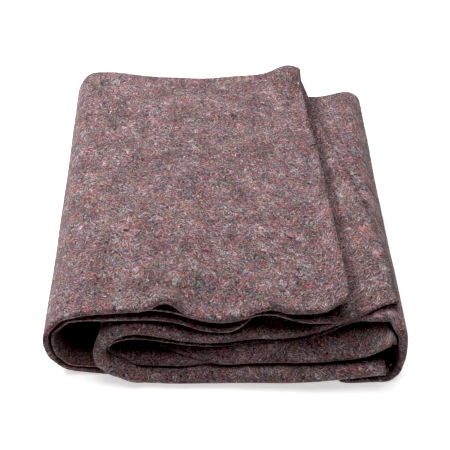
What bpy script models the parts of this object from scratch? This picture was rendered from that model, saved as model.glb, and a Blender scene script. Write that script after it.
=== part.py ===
"""A moving blanket of thick needled felt, folded up and lying on a floor.

The cloth is folded in half twice, which stacks four plies with one rounded nose and two
cut edges at the front, and two rounded noses, one inside the other, at the back. That
four-ply strip is then rolled inwards in four panels: along the top to the left, down
round the left bend, along the floor, up round the right bend, back under the top panel,
and round a last inner bend to a free end.

X runs to the right, Y away from the front and Z up. The origin is under the middle of
the bounding box, on the floor.
"""

import math
from typing import NamedTuple

import bmesh
import bpy

MM = 0.001
PLY = 3.0 * MM  # thickness of the felt
FLOOR_PLY = PLY / 2  # the height of the lowest ply's middle
DEPTH = 457.0 * MM  # from the front line to the back line
MARGIN = 36.0 * MM  # the strip along the front in which a nose swells or an edge droops
OUTWARD_SHARE = 0.9  # how much of a nose's swelling its outer ply takes
FLARE = 7.0 * MM  # how much further each side reaches at its wide end than at its narrow one
FLARE_FROM, FLARE_OVER = 60.0 * MM, 120.0 * MM  # where it begins, and how far it takes to grow

NOSE_STEPS = 4  # faces round a front nose or the inner back nose
BACK_NOSE_STEPS = 5  # faces round the outer back nose
MARGIN_STEPS = 2  # faces across a ply's margin
PLY_STEPS = 3  # faces from a ply's margin to its back
TURNING = math.radians(14)  # the strip gets an extra station where it turns more than this
SKEWED_ROWS = 5  # rows of STRIP over which the free end's slant fades out


class Fold(NamedTuple):
    """One place along the strip, in mm. across and height are the outer ply's middle."""

    across: float
    height: float
    loft_12: float  # from the outer ply to the second, towards the inside of the roll
    loft_23: float
    loft_34: float
    nose_out: float  # how far the front nose of plies 1 and 2 reaches past the front line
    edge_3_out: float  # the same for the cut edge of ply 3
    edge_4_out: float
    back_out: float  # how far the back reaches past the back line
    swell: float  # how much the front nose opens
    droop: float  # how far the cut edge of ply 4 hangs inwards


STRIP = (
    # the top panel, from its free end on the right
    Fold(226, 86, 4.5, 4.5, 4.5, 0, 0, 0, 8, 0, 0),
    Fold(188, 97, 4.5, 4.5, 4.5, 0, 0, 0, 8, 0, 0),
    Fold(140, 105, 6, 7, 5, 0, 0, -1, 12, 0, 0),
    Fold(95, 107, 8, 8, 6, 0, 1, -1, 15, 0, 0),
    Fold(40, 107, 9, 8, 7, 1, 0, -2, 13, 0, 0),
    Fold(-30, 106, 8, 6, 7, 0, 0, -2, 9, 0, 0),
    Fold(-85, 107, 9, 7, 6, 1, -1, 0, 10, 0, 0),
    Fold(-150, 103, 6, 5, 5, 4, 2, 2, 8, 0, 0),
    # the left bend
    Fold(-196, 92, 5, 4.5, 4.5, 9, 7, 7, 4, 0, 0),
    Fold(-219, 72, 4.5, 4.2, 4.2, 15, 13, 13, 0, 0, 0),
    Fold(-225, 49, 4.5, 4.2, 4.2, 20, 18, 18, -4, 0, 0),
    Fold(-217, 25, 4.5, 4.2, 4.2, 25, 23, 23, -6, 0, 0),
    Fold(-196, 8, 4.2, 4.2, 4.2, 28, 25, 25, -6, 0, 0),
    # the floor panel
    Fold(-150, 1.5, 4, 4, 4, 29, 26, 24, 0, 0, 0),
    Fold(-116, 1.5, 4, 4, 4, -4, -7, -8, 2, 0, 0),
    Fold(-40, 1.5, 4, 4, 4, -4, -7, -8, 4, 0, 0),
    Fold(40, 1.5, 4, 4, 4, -4, -7, -8, 4, 0, 0),
    Fold(104, 1.5, 4, 4, 4, -4, -7, -8, 2, 0, 0),
    Fold(146, 1.5, 4, 4, 4, 37, 34, 32, 0, 0, 0),
    Fold(193, 1.5, 4, 4, 4, 37, 34, 32, -1, 0, 0),
    # the right bend
    Fold(210, 8, 4.2, 4, 4, 34, 32, 31, -1, 0, 0),
    Fold(217, 25, 4.2, 4, 4, 29, 28, 28, 0, 0, 0),
    Fold(217.5, 48, 4.2, 4, 4, 23, 23, 29, 2, 0, 0),
    Fold(211, 68, 4.6, 4.4, 4.4, 16, 16, 31, 4, 0, 4),
    Fold(192, 77, 8, 6, 6, 11, 11, 33, 4, 0, 10),
    # the third panel
    Fold(148, 76, 12, 8, 8, 8, 7, 34, 2, 0, 12),
    Fold(80, 74, 14, 9, 9, 8, 6, 35, 0, 0, 12),
    Fold(0, 73, 14, 9, 9, 8, 6, 35, -2, 0, 10),
    Fold(-66, 73, 14, 9, 9, 9, 7, 33, -3, 0, 9),
    Fold(-108, 76, 13, 9, 12, 12, 10, 31, -4, 2, 9),
    # the inner bend
    Fold(-134, 72, 9, 7, 8, 17, 15, 22, -8, 3, 6),
    Fold(-150, 60, 6, 5, 5, 23, 17, -40, -11, 6, 0),
    Fold(-155, 45, 5, 4.5, 4.5, 30, 18, -40, -15, 7, 0),
    Fold(-150, 30, 4.5, 4.5, 4.5, 36, 17, -40, -18, 8, 0),
    Fold(-134, 20.5, 4.5, 4.5, 4.5, 40, 8, -38, -20, 10, 0),
    # the fourth panel, to its free end on the right
    Fold(-108, 18.5, 4.5, 4.5, 4.5, 44, -8, -30, -22, 14, 0),
    Fold(-60, 18.5, 4.5, 4.5, 4.5, 46, -10, -14, -22, 14, 0),
    Fold(20, 18.5, 4.5, 4.5, 4.5, 45, -10, -14, -22, 14, 0),
    Fold(70, 18.5, 4.5, 4.5, 4.5, 44, -10, -14, -20, 14, 0),
    Fold(106, 18.5, 4.5, 4.5, 4.5, 41, -10, -14, -18, 0, 0),
    Fold(192, 19, 4.5, 4.5, 4.5, 34, -10, -14, -16, 0, 0),
)


class FreeEnd(NamedTuple):
    """Where the strip's free end on the top lies: its two upper and its two lower plies."""

    back_share: float  # from 0 at the front to 1 at the back
    upper_across: float
    lower_across: float


FREE_END = (
    FreeEnd(0.0, 146, 206),
    FreeEnd(0.15, 143, 204),
    FreeEnd(0.30, 139, 197),
    FreeEnd(0.45, 136, 185),
    FreeEnd(0.60, 132, 171),
    FreeEnd(0.78, 122, 150),
    FreeEnd(1.0, 111, 124),
)


class Rise(NamedTuple):
    """A soft swelling or sag of the whole stack, in mm, with its rise as a share of the height."""

    across: float
    deep: float
    wide: float
    long: float
    share: float


RISES = (
    Rise(98, 470, 50, 50, 0.04),
    Rise(-62, 460, 60, 60, -0.03),
    Rise(-13, -25, 44, 70, -0.14),
    Rise(62, 0, 40, 60, 0.03),
    Rise(-88, 0, 40, 60, 0.02),
    Rise(-120, 210, 110, 110, 0.015),
    Rise(-235, 480, 45, 190, 0.28),
    Rise(190, 460, 95, 95, 0.04),
    Rise(215, -20, 75, 190, 0.25),
    Rise(70, 260, 90, 90, -0.015),
)


def smooth(t):
    t = min(max(t, 0.0), 1.0)
    return t * t * (3 - 2 * t)


def catmull_rom(a, b, c, d, t):
    """The curve from b to c whose slopes follow its neighbours a and d."""
    return 0.5 * (
        2 * b
        + (c - a) * t
        + (2 * a - 5 * b + 4 * c - d) * t * t
        + (3 * b - a - 3 * c + d) * t * t * t
    )


def fold_at(place):
    """The strip at a place between rows of STRIP, such as 2.5, in metres."""
    last = len(STRIP) - 1
    i = min(max(int(place), 0), last - 1)
    t = place - i
    near = [STRIP[min(max(k, 0), last)] for k in range(i - 1, i + 3)]
    values = [start + (end - start) * smooth(t) for start, end in zip(near[1], near[2])]
    for column in (0, 1):
        values[column] = catmull_rom(*(row[column] for row in near), t)
    fold = Fold(*(MM * value for value in values))
    return fold._replace(height=max(fold.height, FLOOR_PLY))


def heading(place):
    """The strip's unit direction across and up, seen from the front."""
    before, after = fold_at(place - 0.01), fold_at(place + 0.01)
    across, up = after.across - before.across, after.height - before.height
    length = math.hypot(across, up)
    return across / length, up / length


def strip_places():
    """The places of the cloth's rows of vertices: each row of STRIP, and halfway in bends."""
    places = []
    for i in range(len(STRIP) - 1):
        places.append(float(i))
        (across, up), (next_across, next_up) = heading(i + 0.05), heading(i + 0.95)
        turn = abs(math.atan2(across * next_up - up * next_across, across * next_across + up * next_up))
        if turn > TURNING:
            places.append(i + 0.5)
    return [*places, len(STRIP) - 1.0]


class Spot(NamedTuple):
    """A point of a station's section: how deep it lies, how far inwards, and its plies."""

    deep: float
    inward: float
    lower: float  # 0 on plies 1 and 2, 1 on plies 3 and 4, between them round the back


def ply(front, back, inward, lift, lower):
    """A ply from its front to its back. lift is how far its front margin is moved inwards."""
    spots = []
    for step in range(MARGIN_STEPS):
        stop = MARGIN * step / MARGIN_STEPS
        eased = 1 - smooth(stop / MARGIN)
        spots.append(Spot(front + stop, inward + lift * eased, lower))
    for step in range(PLY_STEPS + 1):
        share = step / PLY_STEPS
        spots.append(Spot(front + MARGIN + (back - front - MARGIN) * share, inward, lower))
    return spots


def nose(middle, start, end, steps, forwards, plies):
    """The points between two plies' ends, round a half circle."""
    radius = abs(end - start) / 2
    spots = []
    for step in range(1, steps):
        angle = math.pi * step / steps
        inward = (start + end) / 2 + (start - end) / 2 * math.cos(angle)
        lower = plies[0] + (plies[1] - plies[0]) * step / steps
        spots.append(Spot(middle + forwards * radius * math.sin(angle), inward, lower))
    return spots


def section(fold):
    """One station of the cloth from the cut edge of ply 3 to that of ply 4."""
    second = fold.loft_12
    third = second + fold.loft_23
    fourth = third + fold.loft_34
    out = -fold.swell * OUTWARD_SHARE
    front_second = second + fold.swell * (1 - OUTWARD_SHARE)
    front = -fold.nose_out + (front_second - out) / 2
    back = DEPTH + fold.back_out - fourth / 2
    ply_3 = ply(-fold.edge_3_out, back, third, 0, 1)
    ply_2 = ply(front, back, second, fold.swell * (1 - OUTWARD_SHARE), 0)[::-1]
    ply_1 = ply(front, back, 0, out, 0)
    ply_4 = ply(-fold.edge_4_out, back, fourth, fold.droop, 1)[::-1]
    inner_nose = nose(back, third, second, NOSE_STEPS, 1, (1, 0))
    front_nose = nose(front, front_second, out, NOSE_STEPS, -1, (0, 0))
    outer_nose = nose(back, 0, fourth, BACK_NOSE_STEPS, 1, (0, 1))
    return [*ply_3, *inner_nose, *ply_2, *front_nose, *ply_1, *outer_nose, *ply_4]


def free_end_place(back_share, lower):
    """The place along the strip at which these plies end on the top."""
    back_share = min(max(back_share, 0.0), 1.0)
    i = max(k for k in range(len(FREE_END) - 1) if FREE_END[k].back_share <= back_share)
    start, end = FREE_END[i], FREE_END[i + 1]
    t = (back_share - start.back_share) / (end.back_share - start.back_share)
    upper_across = start.upper_across + (end.upper_across - start.upper_across) * t
    lower_across = start.lower_across + (end.lower_across - start.lower_across) * t
    across = upper_across + (lower_across - upper_across) * lower
    i = max(k for k in range(SKEWED_ROWS) if STRIP[k].across >= across)
    return i + (STRIP[i].across - across) / (STRIP[i].across - STRIP[i + 1].across)



def warped(across, deep, height):
    """The sides' flare, to the front on the right and to the back on the left, and the rises."""
    share = deep / DEPTH
    side = smooth((abs(across) - FLARE_FROM) / FLARE_OVER)
    across += FLARE * side * (0.5 - share if across > 0 else -share)
    scale = 1.0
    for rise in RISES:
        sideways = (across / MM - rise.across) / rise.wide
        backwards = (deep / MM - rise.deep) / rise.long
        scale += rise.share * math.exp(-(sideways**2) - backwards**2)
    return across, deep, FLOOR_PLY + (height - FLOOR_PLY) * scale


def folded(place, index):
    """Where a vertex of the flat cloth goes: its place along the strip, its section's spot."""
    spot = section(fold_at(place))[index]
    if place < SKEWED_ROWS:
        end = free_end_place(spot.deep / DEPTH, spot.lower)
        place = end + (SKEWED_ROWS - end) * place / SKEWED_ROWS
        spot = section(fold_at(place))[index]
    fold = fold_at(place)
    along, up = heading(place)
    across = fold.across - up * spot.inward
    height = fold.height + along * spot.inward
    return warped(across, spot.deep, height)


def felt():
    material = bpy.data.materials.new("felt")
    material.use_nodes = True
    shader = material.node_tree.nodes["Principled BSDF"]
    shader.inputs["Base Color"].default_value = (0.22, 0.14, 0.15, 1.0)
    shader.inputs["Roughness"].default_value = 1.0
    shader.inputs["Metallic"].default_value = 0.0
    return material


def blanket():
    """The cloth, cut flat as a grid, folded vertex by vertex and given its thickness."""
    places = strip_places()
    rows, columns = len(places) - 1, len(section(fold_at(0.0))) - 1
    bm = bmesh.new()
    bmesh.ops.create_grid(bm, x_segments=rows, y_segments=columns, size=0.5)
    for vertex in bm.verts:
        row = round((vertex.co.x + 0.5) * rows)
        column = round((vertex.co.y + 0.5) * columns)
        vertex.co = folded(places[row], column)
    low = [min(vertex.co[axis] for vertex in bm.verts) for axis in (0, 1)]
    high = [max(vertex.co[axis] for vertex in bm.verts) for axis in (0, 1)]
    middle = (-(low[0] + high[0]) / 2, -(low[1] + high[1]) / 2, 0)
    bmesh.ops.translate(bm, verts=bm.verts, vec=middle)
    mesh = bpy.data.meshes.new("blanket")
    bm.to_mesh(mesh)
    bm.free()
    mesh.shade_smooth()
    mesh.materials.append(felt())
    cloth = bpy.data.objects.new("blanket", mesh)
    bpy.context.scene.collection.objects.link(cloth)
    thickness = cloth.modifiers.new("thickness", "SOLIDIFY")
    thickness.thickness = PLY
    thickness.offset = 0.0


def main():
    for old in list(bpy.data.objects):
        bpy.data.objects.remove(old, do_unlink=True)
    blanket()


main()
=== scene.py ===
"""A moving blanket of needled felt, folded up, dressed over its CAD solid.

The cloth is cut flat as a grid of 1.5 x 2.0 m, folded in half twice and rolled inwards in
four panels, on the same folds as the solid but finer: each ply has its own ripples along
the front, and the top has the soft troughs that folding leaves. Loose fibres and a short
nap lie on it.
"""

import math
import random
from typing import NamedTuple

import bmesh
import bpy
import numpy as np
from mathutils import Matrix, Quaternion, Vector, noise
from mathutils.bvhtree import BVHTree


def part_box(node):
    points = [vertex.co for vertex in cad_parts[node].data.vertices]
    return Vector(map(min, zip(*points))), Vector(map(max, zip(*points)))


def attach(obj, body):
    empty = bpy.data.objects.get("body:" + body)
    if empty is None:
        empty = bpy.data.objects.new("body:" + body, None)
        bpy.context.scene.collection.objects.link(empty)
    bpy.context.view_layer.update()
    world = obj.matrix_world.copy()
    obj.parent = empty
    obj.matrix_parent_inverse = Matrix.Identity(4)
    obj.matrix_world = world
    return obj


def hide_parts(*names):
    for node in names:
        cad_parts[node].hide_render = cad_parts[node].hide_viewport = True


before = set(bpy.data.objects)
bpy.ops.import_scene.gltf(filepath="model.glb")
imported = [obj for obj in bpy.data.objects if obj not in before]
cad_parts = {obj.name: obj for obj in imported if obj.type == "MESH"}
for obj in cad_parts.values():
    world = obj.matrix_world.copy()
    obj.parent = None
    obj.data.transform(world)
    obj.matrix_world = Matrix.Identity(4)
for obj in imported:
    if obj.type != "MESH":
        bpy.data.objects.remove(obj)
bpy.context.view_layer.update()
BLANKET_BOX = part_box("blanket")

bl_info = {
    "name": "Folded moving blanket",
    "version": (1, 0, 0),
    "blender": (4, 5, 0),
    "location": "View3D > Sidebar > Blanket",
    "description": "Folds a needled felt blanket and scatters its loose fibres",
    "category": "Add Mesh",
}

MM = 0.001


class Fold(NamedTuple):
    """One place along the strip, in mm. across and height are the outer ply's middle."""

    across: float
    height: float
    loft_12: float  # from the outer ply to the second, towards the inside of the roll
    loft_23: float
    loft_34: float
    nose_out: float  # how far the front nose of plies 1 and 2 reaches past the front line
    edge_3_out: float  # the same for the cut edge of ply 3
    edge_4_out: float
    back_out: float  # how far the back reaches past the back line
    swell: float  # how much the front nose opens
    droop: float  # how far the cut edge of ply 4 hangs inwards


STRIP = (
    # the top panel, from its free end on the right
    Fold(226, 86, 4.5, 4.5, 4.5, 0, 0, 0, 8, 0, 0),
    Fold(188, 97, 4.5, 4.5, 4.5, 0, 0, 0, 8, 0, 0),
    Fold(140, 105, 6, 7, 5, 0, 0, -1, 12, 0, 0),
    Fold(95, 107, 8, 8, 6, 0, 1, -1, 15, 0, 0),
    Fold(40, 107, 9, 8, 7, 1, 0, -2, 13, 0, 0),
    Fold(-30, 106, 8, 6, 7, 0, 0, -2, 9, 0, 0),
    Fold(-85, 107, 9, 7, 6, 1, -1, 0, 10, 0, 0),
    Fold(-150, 103, 6, 5, 5, 4, 2, 2, 8, 0, 0),
    # the left bend
    Fold(-196, 92, 4.6, 3.8, 4.5, 9, 5, 4, 4, 0, 0),
    Fold(-219, 72, 3.8, 3.4, 6.5, 15, 11, 10, 0, 0, 0),
    Fold(-225, 49, 3.6, 3.4, 9, 20, 17, 16, -4, 0, 0),
    Fold(-217, 25, 3.6, 3.4, 7.5, 25, 22, 22, -6, 0, 0),
    Fold(-196, 8, 3.6, 3.6, 5, 28, 25, 25, -6, 0, 0),
    # the floor panel
    Fold(-150, 1.5, 4, 4, 4, 29, 26, 24, 0, 0, 0),
    Fold(-116, 1.5, 4, 4, 4, -4, -7, -8, 2, 0, 0),
    Fold(-40, 1.5, 4, 4, 4, -4, -7, -8, 4, 0, 0),
    Fold(40, 1.5, 4, 4, 4, -4, -7, -8, 4, 0, 0),
    Fold(104, 1.5, 4, 4, 4, -4, -7, -8, 2, 0, 0),
    Fold(146, 1.5, 4, 4, 4, 43, 38, 35, 0, 0, 0),
    Fold(193, 1.5, 4, 4, 4, 41, 37, 34, -1, 0, 0),
    # the right bend
    Fold(210, 8, 3.6, 3.4, 3.4, 37, 28, 24, -1, 0, 0),
    Fold(217, 25, 5, 3.4, 3.4, 33, 8, 2, 0, 0, 0),
    Fold(217.5, 48, 8, 3.4, 3.4, 29, 12, 22, 2, 0, 0),
    Fold(211, 68, 9, 3.4, 3.4, 28, 16, 31, 4, 0, 2),
    Fold(192, 77, 9, 4.4, 4.4, 12, 4, 33, 4, 0, 8),
    # the third panel
    Fold(148, 70, 5, 8, 8, 4, 3, 34, 2, 0, 12),
    Fold(80, 72, 11, 9, 9, 8, 6, 35, 0, 0, 12),
    Fold(0, 73, 14, 9, 9, 8, 6, 35, -2, 0, 10),
    Fold(-66, 73, 14, 9, 9, 9, 7, 33, -3, 0, 9),
    Fold(-108, 76, 13, 9, 12, 12, 10, 26, -4, 2, 9),
    # the inner bend
    Fold(-134, 72, 9, 7, 8, 17, 15, -6, -8, 3, 6),
    Fold(-151, 60, 6, 5, 5, 23, 17, -40, -11, 6, 0),
    Fold(-158, 45, 5, 4.5, 4.5, 30, 18, -40, -15, 7, 0),
    Fold(-154, 30, 4.5, 4.5, 4.5, 36, 17, -40, -18, 8, 0),
    Fold(-137, 20.5, 4.5, 4.5, 4.5, 40, 20, -38, -20, 10, 0),
    # the fourth panel, to its free end on the right
    Fold(-108, 17, 3.6, 3.6, 3.6, 46, 29, -30, -22, 14, 0),
    Fold(-60, 17, 3.6, 3.6, 3.6, 48, 30, -20, -22, 14, 0),
    Fold(20, 18, 4.2, 4.2, 4.2, 46, 20, -14, -22, 14, 0),
    Fold(70, 18.5, 4.5, 4.5, 4.5, 47, -10, -14, -20, 14, 0),
    Fold(106, 19.5, 4.5, 4.5, 4.5, 48, -10, -14, -18, 8, 0),
    Fold(192, 25, 4.5, 4.5, 4.5, 45, -10, -14, -16, 9, 0),
)


class FreeEnd(NamedTuple):
    """Where the strip's free end on the top lies: its two upper and its two lower plies."""

    back_share: float  # from 0 at the front to 1 at the back
    upper_across: float
    lower_across: float


FREE_END = (
    FreeEnd(0.0, 146, 206),
    FreeEnd(0.15, 143, 204),
    FreeEnd(0.30, 139, 197),
    FreeEnd(0.45, 136, 185),
    FreeEnd(0.60, 132, 171),
    FreeEnd(0.78, 122, 150),
    FreeEnd(1.0, 114, 125),
)


class Rise(NamedTuple):
    """A soft swelling or sag of the whole stack, in mm, with its rise as a share of the height."""

    across: float
    deep: float
    wide: float
    long: float
    share: float


RISES = (
    Rise(94, 470, 26, 45, 0.14),
    Rise(-212, 470, 30, 60, 0.09),
    Rise(-62, 460, 60, 60, -0.03),
    Rise(-13, -25, 44, 70, -0.14),
    Rise(62, 0, 40, 60, 0.03),
    Rise(-88, 0, 40, 60, 0.02),
    Rise(-120, 210, 110, 110, 0.015),
    Rise(-235, 480, 45, 190, 0.28),
    Rise(190, 460, 95, 95, 0.04),
    Rise(215, -20, 75, 190, 0.25),
    Rise(70, 260, 90, 90, -0.015),
)


class Lean(NamedTuple):
    """How far a ply's front margin leans at one place along its panel, in mm."""

    across: float
    inward: float  # towards the inside of the roll
    out: float  # past the ply's own front
    long: float  # how far back the leaning is felt


FRONT_LEANS = {  # by the panel or wall and its plies, with ply 1 outermost
    ("top", (1, 2)): (
        Lean(-205, 1, 1, 40),
        Lean(-145, 4, 5.5, 60),
        Lean(-102, 4.5, 6, 60),
        Lean(-92, 4, 5, 40),
        Lean(-84, -6, 5, 26),
        Lean(-74, -11, 5, 26),
        Lean(-62, -9, 5, 26),
        Lean(-54, 4, 6, 40),
        Lean(-30, 8, 8.5, 70),
        Lean(8, 9.5, 9.5, 80),
        Lean(24, 7, 8, 70),
        Lean(40, 2.5, 6, 50),
        Lean(60, 2, 6, 34),
        Lean(73, 8, 9, 44),
        Lean(97, 9, 9, 60),
        Lean(122, 8.5, 9, 60),
        Lean(136, 2.5, 4, 40),
        Lean(160, 1, 1, 36),
    ),
    ("top", (3,)): (
        Lean(-205, 1, 1, 40),
        Lean(-145, 0.5, 10, 60),
        Lean(-90, -1, 10, 60),
        Lean(-60, 0, 11, 60),
        Lean(-30, 7, 11, 70),
        Lean(8, 10.5, 10.5, 80),
        Lean(24, 8, 9.5, 70),
        Lean(40, 5, 9, 60),
        Lean(60, 5.5, 10.5, 54),
        Lean(80, 11, 14, 60),
        Lean(102, 14, 17, 60),
        Lean(135, 15, 18, 60),
        Lean(160, 10, 11, 50),
        Lean(190, 5, 6, 40),
        Lean(205, 3, 2, 40),
    ),
    ("top", (4,)): (
        Lean(-205, 1, 1, 40),
        Lean(-145, 3, 7, 60),
        Lean(-90, 2, 7, 60),
        Lean(-60, 3.5, 8, 60),
        Lean(-30, 9.5, 12, 70),
        Lean(8, 11, 13, 80),
        Lean(24, 7, 6, 70),
        Lean(40, 3, -10, 60),
        Lean(60, 3, -13, 54),
        Lean(80, 7, -12, 60),
        Lean(102, 9, -12, 60),
        Lean(135, 10, -10, 60),
        Lean(160, 7, -6, 50),
        Lean(190, 3, -3, 40),
        Lean(205, 1, -2, 40),
    ),
    ("third", (1, 2)): (
        Lean(170, -1, -3, 40),
        Lean(150, -3, -4, 40),
        Lean(125, 3, -3, 40),
        Lean(92, 10, -1, 50),
        Lean(62, 12, 1, 50),
        Lean(30, 8, 2, 50),
        Lean(-20, 7, 4.5, 50),
        Lean(-60, 6.5, 4, 50),
        Lean(-105, 1, 1, 40),
        Lean(-125, 0, 0, 40),
    ),
    ("third", (3,)): (
        Lean(170, -4, -7, 40),
        Lean(150, -4, -7, 40),
        Lean(125, 2, -2, 40),
        Lean(92, 8, 1, 50),
        Lean(62, 10, 2, 50),
        Lean(30, 7, 2, 50),
        Lean(-20, 7, 4, 50),
        Lean(-60, 5.5, 3, 50),
        Lean(-105, 1, 1, 40),
        Lean(-125, 0, 0, 40),
    ),
    ("third", (4,)): (
        Lean(185, 0, 0, 60),
        Lean(92, -2, -3, 60),
        Lean(10, -2, -3, 60),
        Lean(-12, 1, -6, 80),
        Lean(-32, 3, -11, 110),
        Lean(-60, 4, -20, 100),
        Lean(-88, 5, -34, 100),
        Lean(-112, 5, -46, 100),
        Lean(-132, 0, 0, 60),
    ),
    ("fourth", (2,)): (
        Lean(-120, 0, 0, 60),
        Lean(-104, -6, 0, 60),
        Lean(-60, -6, 0, 60),
        Lean(-10, -3, 0, 60),
        Lean(20, 0, 0, 60),
    ),
    ("fourth", (3,)): (
        Lean(-120, 0, 0, 60),
        Lean(-104, -1, 0, 60),
        Lean(-60, -1, 0, 60),
        Lean(-10, -1, 0, 60),
        Lean(40, 0, 0, 60),
    ),
    ("left wall", (4,)): (
        Lean(-210, 0, 0, 60),
        Lean(-222, -4, 0, 70),
        Lean(-225, -5.5, 0, 80),
        Lean(-219, -4.5, 0, 70),
        Lean(-200, -1, 0, 60),
    ),
    ("right wall", (4,)): (
        Lean(217.4, -1, 0, 30),
        Lean(215.5, -3, 0, 30),
        Lean(211, -3.4, 1, 30),
        Lean(196, -3, 1, 30),
        Lean(152, 0, 0, 30),
    ),
}
LEAN_SOFTENING = 24  # mm along the strip over which each lean runs into the next

PANELS = {  # the rows of STRIP between which each panel or wall of FRONT_LEANS lies
    "top": (0, 8.5),
    "left wall": (8, 12),
    "right wall": (22, 25.2),
    "third": (24.5, 30),
    "fourth": (34.5, 40),
}


class Trough(NamedTuple):
    """A soft trough or swelling of the top panel, in mm."""

    across: float
    deep: float
    wide: float
    long: float
    turn: float  # degrees by which its long way leans to the right
    rise: float


TROUGHS = (
    Trough(-176, 455, 44, 90, 0, 10),
    Trough(-60, 330, 26, 120, 12, -1.6),
    Trough(40, 120, 34, 110, -18, -1.4),
    Trough(-120, 120, 30, 90, 20, 1.5),
)


class FreeEdge(NamedTuple):
    """How the top's free end lies, in mm: its upper pair curls up and its lower pair sinks."""

    curl: float
    curl_wide: float
    sink: float
    sink_across: float  # how far beyond the upper pair's edge the lower pair lies lowest
    sink_wide: float


FREE_EDGE = FreeEdge(curl=3, curl_wide=22, sink=9, sink_across=11, sink_wide=28)

LENGTH = {"unit": "LENGTH", "subtype": "DISTANCE"}
COLOUR = {"size": 3, "subtype": "COLOR"}


class FeltProperties(bpy.types.PropertyGroup):
    thickness: bpy.props.FloatProperty(
        name="Felt thickness",
        description="Thickness of one ply",
        default=3.0 * MM,
        min=1.0 * MM,
        max=4.0 * MM,
        **LENGTH,
    )
    cut_width: bpy.props.FloatProperty(
        name="Cut width",
        description="Width of the blanket laid flat",
        default=1.5,
        **LENGTH,
    )
    cut_length: bpy.props.FloatProperty(
        name="Cut length",
        description="Length of the blanket laid flat",
        default=2.0,
        **LENGTH,
    )
    unevenness: bpy.props.FloatProperty(
        name="Unevenness",
        description="How far the felt wanders off its smooth folds",
        default=1.2 * MM,
        **LENGTH,
    )


class FibreProperties(bpy.types.PropertyGroup):
    strands: bpy.props.IntProperty(
        name="Loose strands",
        description="How many loose strands lie on the felt",
        default=1000,
        min=0,
    )
    strand_width: bpy.props.FloatProperty(
        name="Strand width",
        description="Width of a loose strand, a few fibres together",
        default=0.4 * MM,
        **LENGTH,
    )
    nap: bpy.props.IntProperty(
        name="Nap hairs",
        description="How many short hairs stand up from the felt",
        default=7000,
        min=0,
    )
    nap_length: bpy.props.FloatProperty(
        name="Nap length",
        description="Mean length of a hair of the nap",
        default=2.4 * MM,
        **LENGTH,
    )


class StageProperties(bpy.types.PropertyGroup):
    floor: bpy.props.FloatVectorProperty(
        name="Floor",
        description="Colour of the floor",
        default=(0.66, 0.66, 0.66),
        **COLOUR,
    )
    floor_glow: bpy.props.FloatProperty(
        name="Floor glow",
        description="Light that the floor gives by itself, as a light table does",
        default=0.6,
        min=0.0,
    )
    lamp_power: bpy.props.FloatProperty(
        name="Lamp power",
        description="Power of the large soft lamp overhead",
        default=51.0,
        unit="POWER",
    )
    side_power: bpy.props.FloatProperty(
        name="Side lamp power",
        description="Power of the small lamp at the left, which draws the free ends' shadows",
        default=35.0,
        unit="POWER",
    )
    room_light: bpy.props.FloatProperty(
        name="Room light",
        description="Strength of the even light from all round",
        default=0.22,
        min=0.0,
    )
    view_gamma: bpy.props.FloatProperty(
        name="View gamma",
        description="Gamma of the view: below 1, creases are deeper",
        default=0.78,
        min=0.5,
        max=1.5,
    )
    black_level: bpy.props.FloatProperty(
        name="Black level",
        description="Light below this is shown as black, as in a print",
        default=0.026,
        min=0.0,
        max=0.2,
    )
    lens: bpy.props.FloatProperty(
        name="Lens",
        description="Focal length of the camera, in mm",
        default=72.8,
    )


DEPTH = 457.0 * MM  # of the folded strip, from the front line to the back line
FRONT_LINE = 47.4 * MM  # how far the front line lies behind the foremost nose
MIDLINE = 4.7 * MM  # how far right of the blanket's middle the strip's zero line lies
FLOOR_PLY = 1.6 * MM  # the height of the lowest ply's middle
MARGIN = 36.0 * MM  # the strip along the front in which a nose swells or an edge droops
OUTWARD_SHARE = 0.9  # how much of a nose's swelling its outer ply takes
FLARE = 7.0 * MM  # how much further each side reaches at its wide end than at its narrow one
FLARE_FROM, FLARE_OVER = 60.0 * MM, 120.0 * MM  # where it begins, and how far it takes to grow
SKEWED_ROWS = 5  # rows of STRIP over which the free end's slant fades out
TOP_ROWS_END, TOP_ROWS_FADE = 7, 1.5  # rows of STRIP: where troughs begin to fade, and over what
DRIFTS = ((0.085, 0.7), (0.034, 0.3))  # how the felt wanders: over how many metres, and its share
DRIFT_HEIGHT = 12 * MM  # the height by which the felt wanders up and down in full
DRIFT_SEED = 17  # Blender's noise starts from the clock, so without this each run would differ

RULER_MARKS = 4001  # places at which the strip's length is measured
HEADING_STEP = 0.01  # rows of STRIP, to either side of where its direction is taken
ROW_COUNT = 306  # rows of faces along the strip
# The rows are spaced so that this length of straight strip gets as many as this turn does.
ROW_SPACING, ROW_TURN = 6.4 * MM, math.radians(9)
TOP_PANEL_ROW = 60  # a row in the top panel, where the slant of the free end has faded
NOSE_STEPS = 9  # faces round a front nose
BACK_NOSE_STEPS = 11  # faces round the outer back nose
INNER_NOSE_STEPS = 5  # faces round the inner back nose
MARGIN_STEPS = 8  # faces across a ply's margin
PLY_STEPS = 23  # faces from a ply's margin to its back
CLOTH_UV = "cloth"


def smooth(t):
    t = np.clip(t, 0.0, 1.0)
    return t * t * (3 - 2 * t)


def catmull_rom(a, b, c, d, t):
    """The curve from b to c whose slopes follow its neighbours a and d."""
    return 0.5 * (
        2 * b
        + (c - a) * t
        + (2 * a - 5 * b + 4 * c - d) * t * t
        + (3 * b - a - 3 * c + d) * t * t * t
    )


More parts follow.
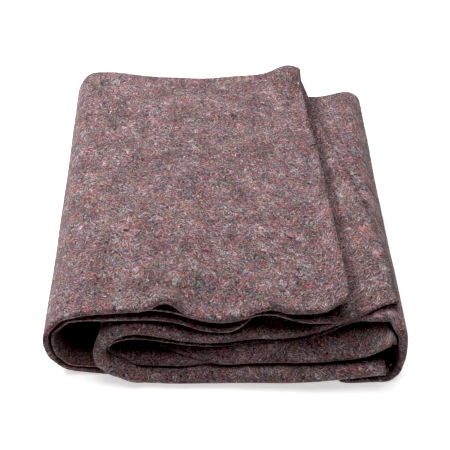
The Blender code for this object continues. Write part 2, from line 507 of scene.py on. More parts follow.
def fold_at(place):
    """The strip at places between rows of STRIP, such as 2.5: a Fold of arrays, in metres."""
    rows, last = np.array(STRIP), len(STRIP) - 1
    i = np.clip(np.floor(place).astype(int), 0, last - 1)
    t = (place - i)[..., None]
    before, start, end, after = (rows[np.clip(i + k, 0, last)] for k in (-1, 0, 1, 2))
    values = start + (end - start) * smooth(t)
    values[..., :2] = catmull_rom(before, start, end, after, t)[..., :2]
    fold = Fold(*np.moveaxis(MM * values, -1, 0))
    return fold._replace(height=np.maximum(fold.height, FLOOR_PLY))


def heading(place):
    """The strip's unit direction across and up, seen from the front."""
    before, after = fold_at(place - HEADING_STEP), fold_at(place + HEADING_STEP)
    across, up = after.across - before.across, after.height - before.height
    length = np.hypot(across, up)
    return across / length, up / length


def ruler():
    """Places along the strip and their distances from its free end."""
    places = np.linspace(0, len(STRIP) - 1, RULER_MARKS)
    fold = fold_at(places)
    steps = np.hypot(np.diff(fold.across), np.diff(fold.height))
    return places, np.concatenate([[0], np.cumsum(steps)])


def strip_places():
    """The places of the cloth's rows of vertices, closer together where the strip bends."""
    places, distance = ruler()
    across, up = heading(places)
    turn = np.abs(np.diff(np.unwrap(np.arctan2(up, across))))
    asked = np.diff(distance) / ROW_SPACING + turn / ROW_TURN
    asked = np.concatenate([[0], np.cumsum(asked)])
    return np.interp(np.linspace(0, asked[-1], ROW_COUNT + 1), asked, places)


def leans_at(place):
    """Each ply's leans at these places along the strip: a Lean of arrays for each, in metres."""
    places, distance = ruler()
    here = np.interp(place, places, distance)
    even = np.arange(0, distance[-1], MM)
    window = np.hanning(LEAN_SOFTENING + 3)
    window = window / window.sum()
    leans = []
    for (panel, plies), rows in FRONT_LEANS.items():
        start, end = PANELS[panel]
        inside = places[(places >= start) & (places <= end)]
        across = fold_at(inside).across
        nearest = [inside[np.argmin(np.abs(across - MM * row.across))] for row in rows]
        middles = np.interp(nearest, places, distance)
        order = np.argsort(middles)
        columns = []
        for column in np.array(rows)[order].T:
            values = np.interp(even, middles[order], MM * column)
            values = np.convolve(np.pad(values, len(window) // 2, "edge"), window, "valid")
            columns.append(np.interp(here, even, values[: len(even)]))
        leans.append((plies, Lean(*columns)))
    return leans


def leaning_front(number, front, leans):
    """How deep the front of this ply lies once its leans have moved it out."""
    leaning = (lean.out for plies, lean in leans if number in plies)
    return front - sum(leaning, np.zeros_like(front))


def ply(number, front, back, inward, lift, leans):
    """How deep and how far inwards a ply's points lie, from its front to its back.

    lift is how far its front margin is moved inwards, apart from its leans.
    """
    rest = back - front - MARGIN
    deep = [front + MARGIN * step / MARGIN_STEPS for step in range(MARGIN_STEPS)]
    deep += [front + MARGIN + rest * step / PLY_STEPS for step in range(PLY_STEPS + 1)]
    deep = np.stack(deep, -1)
    behind = deep - front[..., None]
    inwards = inward[..., None] + lift[..., None] * (1 - smooth(behind / MARGIN))
    for plies, lean in leans:
        if number in plies:
            fading = 1 - smooth(behind / lean.long[..., None])
            inwards = inwards + lean.inward[..., None] * fading
    return deep, inwards


def front_end(points):
    """The foremost of a ply's points. points, and what this gives, are (deep, inward)."""
    return tuple(values[..., 0] for values in points)


def back_end(points):
    return tuple(values[..., -1] for values in points)


def turned(points):
    """A ply's points from its back to its front."""
    return tuple(values[..., ::-1] for values in points)


def nose(start, end, steps, forwards):
    """The points between two plies' ends, round a half circle. start and end are (deep, inward).

    forwards is 1 for a nose at the back and -1 for one at the front.
    """
    angle = np.pi * np.arange(1, steps) / steps
    share = (1 - np.cos(angle)) / 2
    radius = np.abs(end[1] - start[1])[..., None] / 2
    deep = start[0][..., None] + (end[0] - start[0])[..., None] * share
    inward = start[1][..., None] + (end[1] - start[1])[..., None] * share
    return deep + forwards * radius * np.sin(angle), inward


def section(place):
    """Stations of the cloth from the cut edge of ply 3 to that of ply 4: deep, inward."""
    fold, leans = fold_at(place), leans_at(place)
    second = fold.loft_12
    third = second + fold.loft_23
    fourth = third + fold.loft_34
    out = -fold.swell * OUTWARD_SHARE
    in_second = fold.swell * (1 - OUTWARD_SHARE)
    front = leaning_front(1, -fold.nose_out + (second + in_second - out) / 2, leans)
    back = DEPTH + fold.back_out - fourth / 2
    zero = np.zeros_like(front)
    ply_3 = ply(3, leaning_front(3, -fold.edge_3_out, leans), back, third, zero, leans)
    ply_2 = ply(2, front, back, second, in_second, leans)
    ply_1 = ply(1, front, back, zero, out, leans)
    ply_4 = ply(4, leaning_front(4, -fold.edge_4_out, leans), back, fourth, fold.droop, leans)
    parts = (
        ply_3,
        nose(back_end(ply_3), back_end(ply_2), INNER_NOSE_STEPS, 1),
        turned(ply_2),
        nose(front_end(ply_2), front_end(ply_1), NOSE_STEPS, -1),
        ply_1,
        nose(back_end(ply_1), back_end(ply_4), BACK_NOSE_STEPS, 1),
        turned(ply_4),
    )
    return [np.concatenate(values, -1) for values in zip(*parts)]


def lower_shares():
    """For each point of a station: 0 on plies 1 and 2, 1 on 3 and 4, and between at the back."""
    of_ply = MARGIN_STEPS + PLY_STEPS + 1
    inner = 1 - np.arange(1, INNER_NOSE_STEPS) / INNER_NOSE_STEPS
    outer = np.arange(1, BACK_NOSE_STEPS) / BACK_NOSE_STEPS
    upper = np.zeros(2 * of_ply + NOSE_STEPS - 1)
    return np.concatenate([np.ones(of_ply), inner, upper, outer, np.ones(of_ply)])


def free_end(back_share):
    """How far across, in mm, the upper and the lower pair of plies end on the top."""
    ends = FreeEnd(*np.array(FREE_END).T)
    upper = np.interp(back_share, ends.back_share, ends.upper_across)
    lower = np.interp(back_share, ends.back_share, ends.lower_across)
    return upper, lower


def free_end_place(back_share, lower_share):
    """The place along the strip at which these plies end on the top."""
    upper, lower = free_end(back_share)
    across = upper + (lower - upper) * lower_share
    rows = [fold.across for fold in STRIP[: SKEWED_ROWS + 1]]
    return np.interp(-across, [-row for row in rows], np.arange(SKEWED_ROWS + 1))


def warped(points, top_share):
    """The points once the sides flare, the whole stack rises and sags and its top has troughs."""
    across, deep, height = points[..., 0], points[..., 1], points[..., 2]
    share = deep / DEPTH
    side = smooth((np.abs(across) - FLARE_FROM) / FLARE_OVER)
    across = across + FLARE * side * np.where(across > 0, 0.5 - share, -share)
    scale = np.ones_like(across)
    for rise in RISES:
        sideways = (across / MM - rise.across) / rise.wide
        backwards = (deep / MM - rise.deep) / rise.long
        scale += rise.share * np.exp(-(sideways**2) - backwards**2)
    height = FLOOR_PLY + (height - FLOOR_PLY) * scale
    for trough in TROUGHS:
        lean = math.radians(trough.turn)
        x, y = across / MM - trough.across, deep / MM - trough.deep
        sideways = (x * math.cos(lean) - y * math.sin(lean)) / trough.wide
        backwards = (x * math.sin(lean) + y * math.cos(lean)) / trough.long
        bump = np.exp(-(sideways**2) - backwards**2)
        height = height + MM * trough.rise * bump * top_share
    return np.stack([across, deep, height], -1)


def wandering(points, reach):
    """A slow, smooth drift of the felt off its folds. Plies that lie together drift together."""
    noise.seed_set(DRIFT_SEED)
    drift = [
        sum((noise.noise_vector(Vector(point) / over) * share for over, share in DRIFTS), Vector())
        for point in points.reshape(-1, 3)
    ]
    drift = np.array(drift).reshape(points.shape)
    drift[..., 2] *= smooth(points[..., 2] / DRIFT_HEIGHT)
    return points + drift * reach


def folded_cloth(reach):
    """Where each vertex of the cloth's grid lies once it is folded: (rows, columns, 3)."""
    places = strip_places()
    lower = lower_shares()
    deep, _ = section(places)
    points = np.empty((*deep.shape, 3))
    top = np.empty(deep.shape)
    for column, lower_share in enumerate(lower):
        end = free_end_place(deep[:, column] / DEPTH, lower_share)
        slanted = end + (SKEWED_ROWS - end) * places / SKEWED_ROWS
        skewed = np.where(places < SKEWED_ROWS, slanted, places)
        column_deep, inward = (values[:, column] for values in section(skewed))
        fold = fold_at(skewed)
        along, up = heading(skewed)
        points[:, column, 0] = fold.across - up * inward
        points[:, column, 1] = column_deep
        points[:, column, 2] = fold.height + along * inward
        top[:, column] = 1 - smooth((skewed - TOP_ROWS_END) / TOP_ROWS_FADE)
        upper_end, _ = free_end(column_deep / DEPTH)
        beyond = (points[:, column, 0] - MM * upper_end) / MM
        past_lowest = (beyond - FREE_EDGE.sink_across) / FREE_EDGE.sink_wide
        curl = FREE_EDGE.curl * np.exp(-((beyond / FREE_EDGE.curl_wide) ** 2))
        sink = FREE_EDGE.sink * np.exp(-(past_lowest**2))
        lift = curl * (1 - lower_share) - sink * lower_share
        points[:, column, 2] += MM * top[:, column] * lift
    points = wandering(warped(points, top), reach)
    points[..., 2] = np.maximum(points[..., 2], FLOOR_PLY)
    return points


def cloth_coordinates(points):
    """Each vertex's place on the flat cloth, in metres along the strip and over its four plies.

    From a row of the top panel on, every ply takes the same distance along, so that a pattern
    crosses the narrow front noses without a shear.
    """
    along = np.zeros(points.shape[:2])
    along[1:] = np.cumsum(np.linalg.norm(np.diff(points, axis=0), axis=-1), axis=0)
    along -= along[TOP_PANEL_ROW]
    along[TOP_PANEL_ROW:] = along[TOP_PANEL_ROW:].mean(axis=1, keepdims=True)
    over = np.zeros(points.shape[:2])
    over[:, 1:] = np.cumsum(np.linalg.norm(np.diff(points, axis=1), axis=-1), axis=1)
    return along, over


def finished(name, mesh, material):
    """An object for a piece whose place is in its mesh, riding on the blanket's one body."""
    mesh.materials.append(material)
    piece = bpy.data.objects.new(name, mesh)
    bpy.context.scene.collection.objects.link(piece)
    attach(piece, "root")
    return piece


class BLANKET_OT_fold_cloth(bpy.types.Operator):
    """Cut the felt flat, fold it in half twice and roll it up in four panels"""

    bl_idname = "blanket.fold_cloth"
    bl_label = "Fold the blanket"

    def execute(self, context):
        felt = context.scene.blanket_felt
        points = folded_cloth(felt.unevenness)
        rows, columns = (count - 1 for count in points.shape[:2])
        low, high = BLANKET_BOX
        points[..., 0] += (low[0] + high[0]) / 2 + MIDLINE
        points[..., 1] += low[1] + FRONT_LINE
        along, over = cloth_coordinates(points)

        bm = bmesh.new()
        bmesh.ops.create_grid(bm, x_segments=rows, y_segments=columns, size=0.5)
        cloth_uv = bm.loops.layers.uv.new(CLOTH_UV)
        for vertex in bm.verts:
            row = round((vertex.co.x + 0.5) * rows)
            column = round((vertex.co.y + 0.5) * columns)
            vertex.co = points[row, column]
            for loop in vertex.link_loops:
                loop[cloth_uv].uv = (along[row, column], over[row, column])
        mesh = bpy.data.meshes.new("felt_cloth")
        bm.to_mesh(mesh)
        bm.free()
        mesh.shade_smooth()
        cloth = finished("felt_cloth", mesh, needled_felt())
        thickness = cloth.modifiers.new("thickness", "SOLIDIFY")
        thickness.thickness = felt.thickness
        thickness.offset = 0.0
        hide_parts("blanket")
        return {"FINISHED"}


MIX_A, MIX_B, MIXED = 6, 7, 2  # a Mix node's colour sockets: two go in and one comes out
SPREAD = {"From Min": 0.3, "From Max": 0.7}  # where most of a noise texture's values lie


def linear(colour):
    """An sRGB hex colour, such as 0x7F5A3C, as linear red, green, blue and alpha."""
    channels = ((colour >> shift & 255) / 255 for shift in (16, 8, 0))
    return (*(c / 12.92 if c <= 0.04045 else ((c + 0.055) / 1.055) ** 2.4 for c in channels), 1.0)


def add_node(tree, kind, inputs=(), stops=(), **settings):
    """Adds a node. inputs pairs its sockets with outputs or values.

    stops fills a colour ramp, with the ramp's two ends first.
    """
    node = tree.nodes.new(kind)
    for name, value in settings.items():
        setattr(node, name, value)
    for socket, value in dict(inputs).items():
        if isinstance(value, bpy.types.NodeSocket):
            tree.links.new(value, node.inputs[socket])
        else:
            node.inputs[socket].default_value = value
    for index, (position, colour) in enumerate(stops):
        elements = node.color_ramp.elements
        stop = elements[index] if index < 2 else elements.new(position)
        stop.position, stop.color = position, linear(colour)
    return node


def new_material(name):
    """An empty procedural material: its node tree and its Principled BSDF, already linked."""
    material = bpy.data.materials.new(name)
    material.use_nodes = True
    tree = material.node_tree
    tree.nodes.clear()
    shader = add_node(tree, "ShaderNodeBsdfPrincipled")
    add_node(tree, "ShaderNodeOutputMaterial", {"Surface": shader.outputs["BSDF"]})
    return material, tree, shader


class Fleck(NamedTuple):
    """One kind of coloured speck, one to a cell. Its radii are shares of the cell's size."""

    cell: float
    bare: float  # the share of the cells that have none
    strength: float
    outside: float  # the radius at which it begins to show
    inside: float  # the radius at which it shows in full
    colours: tuple  # a ramp's stops, each with where it begins from 0 to 1


FLECKS = (
    # Blots: soft spots of bright fibre, 6 mm across, in two fifths of their 12 mm cells.
    Fleck(
        cell=12 * MM,
        bare=0.60,
        strength=0.36,
        outside=0.42,
        inside=0.06,
        colours=(
            (0.00, 0xB4545A),
            (0.90, 0x8C6A4A),
            (0.30, 0xA8606A),
            (0.50, 0x4E5A78),
            (0.66, 0xB06A50),
            (0.78, 0x6A5878),
        ),
    ),
    # Pills: hard little knots 2 mm across, in a fifth of their 5 mm cells.
    Fleck(
        cell=5 * MM,
        bare=0.80,
        strength=0.8,
        outside=0.24,
        inside=0.14,
        colours=(
            (0.00, 0x2A2428),
            (0.94, 0xC8BC84),
            (0.40, 0xD6CECC),
            (0.72, 0xA8545A),
            (0.82, 0x46506C),
            (0.88, 0xA87050),
        ),
    ),
)


def needled_felt():
    """Needled felt of recycled textile fibre: a grey-mauve web with tufts of every colour in it.

    To the eye it is matt and a little hazy: a fine grain of strands and dark pits over soft
    patches of pink, grey, brown and violet, with a few coloured flecks and pills.
    """
    material, tree, shader = new_material("needled_recycled_felt")
    cloth = add_node(tree, "ShaderNodeUVMap", uv_map=CLOTH_UV)
    flat = add_node(tree, "ShaderNodeSeparateXYZ", {"Vector": cloth.outputs["UV"]})
    space = add_node(tree, "ShaderNodeTexCoord")
    level = add_node(tree, "ShaderNodeSeparateXYZ", {"Vector": space.outputs["Object"]})
    # Height is the third coordinate, so that a cut edge shows the pattern across its thickness.
    place = add_node(
        tree,
        "ShaderNodeCombineXYZ",
        {"X": flat.outputs["X"], "Y": flat.outputs["Y"], "Z": level.outputs["Z"]},
    )
    # The web is cross-laid, so its fibres change direction over some 12 mm, with ragged tufts.
    sway = add_node(
        tree,
        "ShaderNodeTexNoise",
        {"Vector": place.outputs["Vector"], "Scale": 1 / (12 * MM), "Detail": 1.0},
    )
    swayed = add_node(
        tree,
        "ShaderNodeVectorMath",
        {0: sway.outputs["Color"], 1: (14 * MM, 14 * MM, 14 * MM), 2: place.outputs["Vector"]},
        operation="MULTIPLY_ADD",
    )
    rag = add_node(
        tree,
        "ShaderNodeTexNoise",
        {"Vector": swayed.outputs["Vector"], "Scale": 1 / (2.4 * MM), "Detail": 2.0},
    )
    ragged = add_node(
        tree,
        "ShaderNodeVectorMath",
        {0: rag.outputs["Color"], 1: (2 * MM, 2 * MM, 2 * MM), 2: swayed.outputs["Vector"]},
        operation="MULTIPLY_ADD",
    )
    # Patches: where the web was laid pinker or greyer, 13 mm across and all of one lightness.
    patch = add_node(
        tree,
        "ShaderNodeTexNoise",
        {"Vector": ragged.outputs["Vector"], "Scale": 1 / (13 * MM), "Detail": 2.0},
    )
    patch_colour = add_node(
        tree,
        "ShaderNodeValToRGB",
        {"Fac": patch.outputs["Fac"]},
        stops=(
            (0.36, 0x786F6C),
            (0.66, 0x906869),
            (0.44, 0x7D6E6D),
            (0.52, 0x846C6F),
            (0.59, 0x896A6B),
        ),
    )
    # Tufts: one garment's fibre, 8 mm long and 7 mm wide, with ragged edges.
    tuft_size = (8 * MM, 7 * MM, 7 * MM)
    tuft_place = add_node(
        tree,
        "ShaderNodeMapping",
        {"Vector": ragged.outputs["Vector"], "Scale": [1 / side for side in tuft_size]},
    )
    tufts = add_node(
        tree, "ShaderNodeTexVoronoi", {"Vector": tuft_place.outputs["Vector"], "Scale": 1.0}
    )
    tuft_pick = add_node(tree, "ShaderNodeSeparateColor", {"Color": tufts.outputs["Color"]})
    tuft_colour = add_node(
        tree,
        "ShaderNodeValToRGB",
        {"Fac": tuft_pick.outputs["Red"]},
        stops=(
            (0.00, 0x5E4C52),
            (0.97, 0xA2969A),
            (0.10, 0x6C6072),
            (0.22, 0x7E6C6E),
            (0.34, 0x866E78),
            (0.46, 0x8C7C7E),
            (0.58, 0x926A6E),
            (0.68, 0x7A6A6E),
            (0.78, 0x847060),
            (0.88, 0x74727A),
        ),
    )
    ground = add_node(
        tree,
        "ShaderNodeMix",
        {0: 0.5, MIX_A: patch_colour.outputs["Color"], MIX_B: tuft_colour.outputs["Color"]},
        data_type="RGBA",
    )
    # Strands: real fibres are 0.03 mm wide, so what shows is bundles of them, drawn here 3.4 mm
    # long and 2.2 mm wide with finer ones in them.
    bundle_size = (3.4 * MM, 2.2 * MM, 2.2 * MM)
    strand_place = add_node(
        tree,
        "ShaderNodeMapping",
        {"Vector": ragged.outputs["Vector"], "Scale": [1 / side for side in bundle_size]},
    )
    strands = add_node(
        tree,
        "ShaderNodeTexNoise",
        {"Vector": strand_place.outputs["Vector"], "Scale": 1.0, "Detail": 3.0, "Roughness": 0.7},
    )
    strand_tone = add_node(
        tree,
        "ShaderNodeMapRange",
        {"Value": strands.outputs["Fac"], **SPREAD, "To Min": 0.12, "To Max": 1.76},
    )
    # Pits: the dark spaces between strands, 1.6 mm apart and less.
    pits = add_node(
        tree,
        "ShaderNodeTexNoise",
        {
            "Vector": swayed.outputs["Vector"],
            "Scale": 1 / (1.6 * MM),
            "Detail": 2.0,
            "Roughness": 0.8,
        },
    )
    pit_tone = add_node(
        tree,
        "ShaderNodeMapRange",
        {
            "Value": pits.outputs["Fac"],
            "From Min": 0.32,
            "From Max": 0.68,
            "To Min": 0.2,
            "To Max": 1.8,
        },
    )
    tone = add_node(
        tree,
        "ShaderNodeMath",
        {0: strand_tone.outputs["Result"], 1: pit_tone.outputs["Result"]},
        operation="MULTIPLY",
    )
    # Wear: the felt is paler where it has been rubbed, in soft clouds 34 mm across.
    wear = add_node(
        tree,
        "ShaderNodeTexNoise",
        {"Vector": place.outputs["Vector"], "Scale": 1 / (34 * MM), "Detail": 3.0},
    )
    wear_tone = add_node(
        tree,
        "ShaderNodeMapRange",
        {"Value": wear.outputs["Fac"], **SPREAD, "To Min": 0.25, "To Max": 0.41},
    )
    worn = add_node(
        tree,
        "ShaderNodeMath",
        {0: tone.outputs["Value"], 1: wear_tone.outputs["Result"]},
        operation="MULTIPLY",
    )
    # Light strands are greyer and the dark between them is warmer, so the tone is a colour that
    # the ground is multiplied by.
    tint = add_node(
        tree,
        "ShaderNodeMix",
        {0: worn.outputs["Value"], MIX_A: (0.13, 0.0, 0.01, 1.0), MIX_B: (2.75, 3.08, 3.05, 1.0)},
        data_type="RGBA",
    )
    grained = add_node(
        tree,
        "ShaderNodeMix",
        {0: 1.0, MIX_A: ground.outputs[MIXED], MIX_B: tint.outputs[MIXED]},
        data_type="RGBA",
        blend_type="MULTIPLY",
    )
    # The palest strands are undyed, so they are greyer.
    undyed = add_node(
        tree,
        "ShaderNodeMapRange",
        {"Value": tone.outputs["Value"], "From Min": 1.3, "From Max": 2.8, "To Max": 0.45},
    )
    haired = add_node(
        tree,
        "ShaderNodeMix",
        {0: undyed.outputs["Result"], MIX_A: grained.outputs[MIXED], MIX_B: linear(0xC4B8BA)},
        data_type="RGBA",
    )
    coloured = haired.outputs[MIXED]
    for fleck, where in zip(FLECKS, (ragged, swayed)):
        cells = add_node(
            tree,
            "ShaderNodeTexVoronoi",
            {"Vector": where.outputs["Vector"], "Scale": 1 / fleck.cell},
        )
        pick = add_node(tree, "ShaderNodeSeparateColor", {"Color": cells.outputs["Color"]})
        colour = add_node(
            tree, "ShaderNodeValToRGB", {"Fac": pick.outputs["Green"]}, stops=fleck.colours
        )
        colour.color_ramp.interpolation = "CONSTANT"
        chosen = add_node(
            tree,
            "ShaderNodeMapRange",
            {
                "Value": pick.outputs["Red"],
                "From Min": fleck.bare,
                "From Max": fleck.bare + 0.02,
                "To Max": fleck.strength,
            },
        )
        edge = add_node(
            tree,
            "ShaderNodeMapRange",
            {
                "Value": cells.outputs["Distance"],
                "From Min": fleck.outside,
                "From Max": fleck.inside,
            },
        )
        share = add_node(
            tree,
            "ShaderNodeMath",
            {0: chosen.outputs["Result"], 1: edge.outputs["Result"]},
            operation="MULTIPLY",
        )
        flecked = add_node(
            tree,
            "ShaderNodeMix",
            {0: share.outputs["Value"], MIX_A: coloured, MIX_B: colour.outputs["Color"]},
            data_type="RGBA",
        )
        coloured = flecked.outputs[MIXED]
    # The surface: strands stand a few tenths of a millimetre proud of the pits between them.
    height = add_node(
        tree,
        "ShaderNodeMath",
        {0: strands.outputs["Fac"], 1: 1.0, 2: pits.outputs["Fac"]},
        operation="MULTIPLY_ADD",
    )
    relief = add_node(
        tree,
        "ShaderNodeBump",
        {"Height": height.outputs["Value"], "Strength": 0.5, "Distance": 0.8 * MM},
    )
    tree.links.new(coloured, shader.inputs["Base Color"])
    tree.links.new(relief.outputs["Normal"], shader.inputs["Normal"])
    shader.inputs["Roughness"].default_value = 0.95
    shader.inputs["IOR"].default_value = 1.5
    shader.inputs["Specular IOR Level"].default_value = 0.2
    shader.inputs["Sheen Weight"].default_value = 0.15
    shader.inputs["Sheen Roughness"].default_value = 0.6
    return material


class Fibre(NamedTuple):
    """One dye of the loose strands and the nap, and the paler colour that it fades to."""

    name: str
    colour: int
    paler: int
    share: float  # of all the strands


FIBRES = (
    Fibre("undyed_polyester_fibre", 0xD8D0CF, 0xF2EEEC, 0.32),
    Fibre("grey_fibre", 0x8B8086, 0xA99FA2, 0.32),
    Fibre("charcoal_fibre", 0x2A262A, 0x453E43, 0.18),
    Fibre("red_cotton_fibre", 0xA9474A, 0xC4716C, 0.10),
    Fibre("blue_cotton_fibre", 0x4A5878, 0x7480A0, 0.10),
)


def fibre_material(fibre):
    """Polyester or cotton fibre pulled out of rags: matt strands, uneven in colour along them."""
    made = bpy.data.materials.get(fibre.name)
    if made is not None:
        return made
    material, tree, shader = new_material(fibre.name)
    space = add_node(tree, "ShaderNodeTexCoord")
    # The colour changes over some 5 mm of a strand.
    uneven = add_node(
        tree,
        "ShaderNodeTexNoise",
        {"Vector": space.outputs["Object"], "Scale": 1 / (5 * MM), "Detail": 1.0},
    )
    tone = add_node(
        tree,
        "ShaderNodeValToRGB",
        {"Fac": uneven.outputs["Fac"]},
        stops=((0.35, fibre.colour), (0.65, fibre.paler)),
    )
    tree.links.new(tone.outputs["Color"], shader.inputs["Base Color"])
    shader.inputs["Roughness"].default_value = 0.8
    shader.inputs["Specular IOR Level"].default_value = 0.3
    return material


FIBRE_SEED = 41
OPEN_ABOVE = 12 * MM  # fibres lie only where nothing covers the felt within this distance
LOWEST_FIBRE = 4 * MM  # and only above this height
SKIN = 0.3 * MM  # how far off the felt the search for a cover starts
CURLED_SHARE = 0.25  # of the loose strands
STRAND_RISE = 0.5 * MM  # the most by which a loose strand's middle lifts off the felt
NAP_ROOT = 0.2 * MM  # how deep in the felt a hair of the nap starts
NAP_WIDTH = 0.55  # as a share of a loose strand's
BASE_TAPER, TIP_TAPER = 0.75, 0.45  # a strand's ends, against its middle


def open_surface(cloth):
    """The cloth's finished surface, its search tree, and those of its faces that lie open."""
    graph = bpy.context.evaluated_depsgraph_get()
    surface = bmesh.new()
    surface.from_object(cloth, graph)
    bmesh.ops.triangulate(surface, faces=surface.faces)
    tree = BVHTree.FromBMesh(surface)
    shown = []
    for face in surface.faces:
        middle = face.calc_center_median()
        start = middle + face.normal * SKIN
        covered = tree.ray_cast(start, face.normal, OPEN_ABOVE)[0] is not None
        if middle.z > LOWEST_FIBRE and not covered:
            shown.append(face)
    return surface, tree, shown


def points_on(faces, count, chance):
    """This many points spread evenly over the faces, each with its face."""
    sizes = np.cumsum([face.calc_area() for face in faces])
    for _ in range(count):
        face = faces[int(np.searchsorted(sizes, chance.random() * sizes[-1]))]
        a, b, c = (vertex.co for vertex in face.verts)
        u, v = chance.random(), chance.random()
        if u + v > 1:
            u, v = 1 - u, 1 - v
        yield face, a + (b - a) * u + (c - a) * v


def laid_strand(tree, start, normal, chance, width):
    """The path of a strand that lies on the felt: most run along the cloth, and some curl up."""
    curled = chance.random() < CURLED_SHARE
    length = chance.uniform(5, 11) * MM if curled else chance.uniform(2, 12) * MM
    turn = chance.uniform(3.5, 6.6) if curled else chance.gauss(0, 1.0)
    turn = turn * chance.choice((-1, 1))
    side = normal.cross(Vector((0, 1, 0)))
    if side.length < 0.3:
        side = normal.cross(Vector((0, 0, 1)))
    side.rotate(Quaternion(normal, chance.gauss(0, 0.75)))
    steps = 9 if curled else 5
    path, here, onward = [], start.copy(), side.normalized()
    for step in range(steps + 1):
        near, near_normal, _, _ = tree.find_nearest(here)
        lift = width * 0.6 + STRAND_RISE * math.sin(math.pi * step / steps) * chance.random()
        path.append(near + near_normal * lift)
        onward.rotate(Quaternion(near_normal, turn / steps + chance.gauss(0, 0.25)))
        here = near + onward * length / steps
    return path


def standing_hair(start, normal, chance, length):
    """The path of a short hair that stands up from the felt and bends over."""
    lean = Vector((chance.gauss(0, 1), chance.gauss(0, 1), chance.gauss(0, 1)))
    lean = (lean - normal * lean.dot(normal)).normalized()
    reach = length * chance.uniform(0.5, 1.5)
    rise = chance.uniform(0.25, 0.8)
    return [
        start - normal * NAP_ROOT,
        start + (normal * rise + lean * 0.5) * reach * 0.55,
        start + (normal * rise * 0.85 + lean * 1.1) * reach,
    ]


def strands_piece(name, paths, width, chance):
    """One mesh of thin square strands along these paths, in the fibre colours."""
    curve = bpy.data.curves.new(name, "CURVE")
    curve.dimensions = "3D"
    curve.bevel_depth = width / 2
    curve.bevel_resolution = 0
    curve.resolution_u = 1
    curve.use_fill_caps = True
    shares = np.cumsum([fibre.share for fibre in FIBRES])
    for path in paths:
        spline = curve.splines.new("POLY")
        spline.points.add(len(path) - 1)
        spline.points.foreach_set("co", [value for point in path for value in (*point, 1.0)])
        widths = [BASE_TAPER] + [1.0] * (len(path) - 2) + [TIP_TAPER]
        spline.points.foreach_set("radius", widths)
        spline.material_index = int(np.searchsorted(shares, chance.random() * shares[-1]))
    drawn = bpy.data.objects.new(name, curve)
    bpy.context.scene.collection.objects.link(drawn)
    bpy.context.view_layer.update()
    graph = bpy.context.evaluated_depsgraph_get()
    mesh = bpy.data.meshes.new_from_object(drawn.evaluated_get(graph))
    mesh.name = name
    bpy.data.objects.remove(drawn, do_unlink=True)
    bpy.data.curves.remove(curve)
    mesh.materials.clear()
    *others, last = (fibre_material(fibre) for fibre in FIBRES)
    for material in others:
        mesh.materials.append(material)
    return finished(name, mesh, last)


class BLANKET_OT_scatter_fibres(bpy.types.Operator):
    """Scatter the felt's loose strands and raise its short nap"""

    bl_idname = "blanket.scatter_fibres"
    bl_label = "Scatter the fibres"

    def execute(self, context):
        cloth = bpy.data.objects.get("felt_cloth")
        if cloth is None:
            raise RuntimeError("Fold the blanket before its fibres are scattered")
        fibres = context.scene.blanket_fibres
        chance = random.Random(FIBRE_SEED)
        surface, tree, shown = open_surface(cloth)
        strands = [
            laid_strand(tree, point, face.normal, chance, fibres.strand_width)
            for face, point in points_on(shown, fibres.strands, chance)
        ]
        hairs = [
            standing_hair(point, face.normal, chance, fibres.nap_length)
            for face, point in points_on(shown, fibres.nap, chance)
        ]
        surface.free()
        strands_piece("loose_strands", strands, fibres.strand_width, chance)
        strands_piece("nap", hairs, fibres.strand_width * NAP_WIDTH, chance)
        return {"FINISHED"}


FLOOR_REACH = 6.0  # from the floor's middle to its sides
SOFTBOX_SIZE, SOFTBOX_PLACE = 2.0, (0.0, 0.35, 2.3)
SIDE_SOFTBOX_SIZE, SIDE_SOFTBOX_PLACE = 0.5, (-1.1, 0.7, 1.7)
SENSOR_WIDTH = 36.0  # mm
CAMERA_PLACE = (0.0035, -0.918, 0.9516)
CAMERA_TILT = math.radians(44.8)  # up from looking straight down


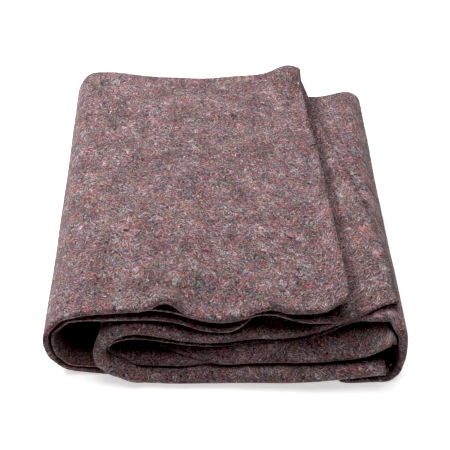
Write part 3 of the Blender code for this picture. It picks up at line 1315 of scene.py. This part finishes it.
class BLANKET_OT_set_stage(bpy.types.Operator):
    """Lay the pale floor, hang the soft lamp and place the camera"""

    bl_idname = "blanket.set_stage"
    bl_label = "Set the stage"

    def execute(self, context):
        scene, stage = context.scene, context.scene.blanket_stage
        bm = bmesh.new()
        bmesh.ops.create_grid(bm, x_segments=1, y_segments=1, size=FLOOR_REACH)
        mesh = bpy.data.meshes.new("floor")
        bm.to_mesh(mesh)
        bm.free()
        # Matt white paper: plain, and so evenly lit that it shows as white round the blanket.
        paper, _, shader = new_material("matt_white_paper")
        shader.inputs["Base Color"].default_value = (*stage.floor, 1.0)
        shader.inputs["Roughness"].default_value = 1.0
        shader.inputs["Specular IOR Level"].default_value = 0.0
        shader.inputs["Emission Color"].default_value = (1, 1, 1, 1)
        shader.inputs["Emission Strength"].default_value = stage.floor_glow
        mesh.materials.append(paper)
        floor = bpy.data.objects.new("floor", mesh)
        scene.collection.objects.link(floor)

        for name, size, power, place in (
            ("softbox", SOFTBOX_SIZE, stage.lamp_power, SOFTBOX_PLACE),
            ("side_softbox", SIDE_SOFTBOX_SIZE, stage.side_power, SIDE_SOFTBOX_PLACE),
        ):
            lamp = bpy.data.lights.new(name, "AREA")
            lamp.shape, lamp.size = "SQUARE", size
            lamp.energy = power
            hung = bpy.data.objects.new(name, lamp)
            hung.location = place
            hung.rotation_euler = (-hung.location).to_track_quat("-Z", "Y").to_euler()
            scene.collection.objects.link(hung)
        world = bpy.data.worlds.new("room")
        world.use_nodes = True
        background = world.node_tree.nodes["Background"]
        background.inputs["Color"].default_value = (1, 1, 1, 1)
        background.inputs["Strength"].default_value = stage.room_light
        scene.world = world
        view = scene.view_settings
        view.view_transform = "Standard"
        view.gamma = stage.view_gamma
        view.use_curve_mapping = True
        view.curve_mapping.black_level = (stage.black_level,) * 3
        view.curve_mapping.update()

        lens = bpy.data.cameras.new("camera")
        lens.sensor_width, lens.lens = SENSOR_WIDTH, stage.lens
        lens.clip_start, lens.clip_end = 0.01, 50.0
        camera = bpy.data.objects.new("camera", lens)
        camera.location = CAMERA_PLACE
        camera.rotation_euler = (CAMERA_TILT, 0, 0)
        scene.collection.objects.link(camera)
        scene.camera = camera
        return {"FINISHED"}


class BLANKET_PT_panel(bpy.types.Panel):
    """The blanket's sizes and colours, and the steps that make it"""

    bl_idname = "BLANKET_PT_panel"
    bl_label = "Folded moving blanket"
    bl_space_type = "VIEW_3D"
    bl_region_type = "UI"
    bl_category = "Blanket"

    def draw(self, context):
        for owner, names in SHOWN.items():
            for name in names:
                self.layout.prop(getattr(context.scene, owner), name)
        for operator in OPERATORS:
            self.layout.operator(operator.bl_idname)


GROUPS = {
    "blanket_felt": FeltProperties,
    "blanket_fibres": FibreProperties,
    "blanket_stage": StageProperties,
}
SHOWN = {owner: tuple(group.__annotations__) for owner, group in GROUPS.items()}
OPERATORS = (BLANKET_OT_fold_cloth, BLANKET_OT_scatter_fibres, BLANKET_OT_set_stage)


def register():
    for kind in (*GROUPS.values(), *OPERATORS, BLANKET_PT_panel):
        bpy.utils.register_class(kind)
    for owner, group in GROUPS.items():
        setattr(bpy.types.Scene, owner, bpy.props.PointerProperty(type=group))


def unregister():
    for owner in GROUPS:
        delattr(bpy.types.Scene, owner)
    for kind in (BLANKET_PT_panel, *reversed(OPERATORS), *reversed(tuple(GROUPS.values()))):
        bpy.utils.unregister_class(kind)


def main():
    register()
    bpy.ops.blanket.fold_cloth()
    bpy.ops.blanket.scatter_fibres()
    bpy.ops.blanket.set_stage()


if __name__ == "__main__":
    main()
